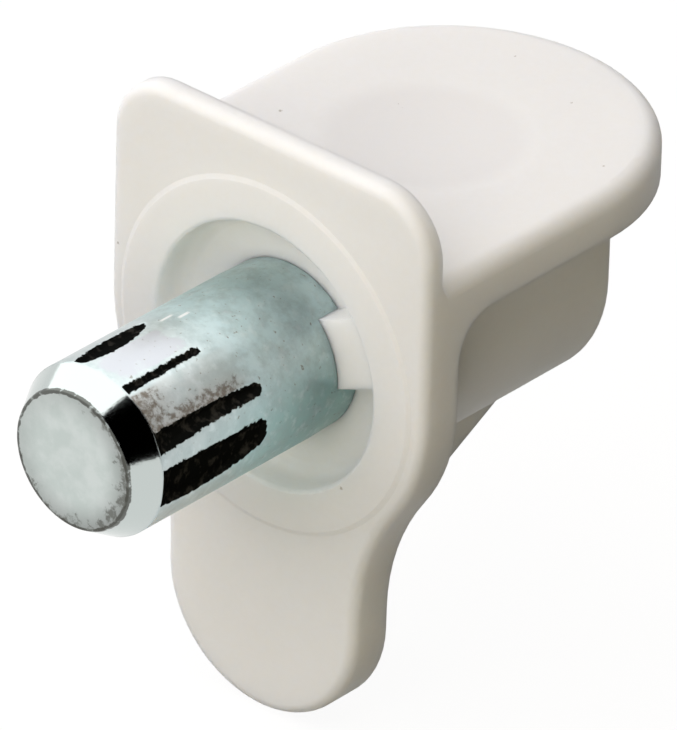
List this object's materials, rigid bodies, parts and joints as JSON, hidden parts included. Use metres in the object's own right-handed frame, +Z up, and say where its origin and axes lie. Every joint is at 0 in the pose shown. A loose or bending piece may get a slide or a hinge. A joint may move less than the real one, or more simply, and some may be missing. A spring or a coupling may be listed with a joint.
{
  "type": "shelf support pin",
  "caption": "Shelf support with a fluted steel pin for a drilled cabinet side and a white moulded ledge, fence and wall tongue that carry the end of a shelf.",
  "frame": {"origin": "on the pin's axis, in the plane where the round pad stands on the cabinet side", "axes": "-Y along the pin, into the cabinet side; +Y towards the shelf; +Z up; X across"},
  "size_m": [0.0114, 0.0207, 0.0178],
  "materials": {
    "white_plastic": "satin moulded white plastic",
    "zinc_plated_steel": "zinc plated, with dark pressed flutes and a worn end"
  },
  "bodies": {
    "root": {"support_body": "white_plastic", "steel_pin": "zinc_plated_steel"}
  },
  "joints": []
}
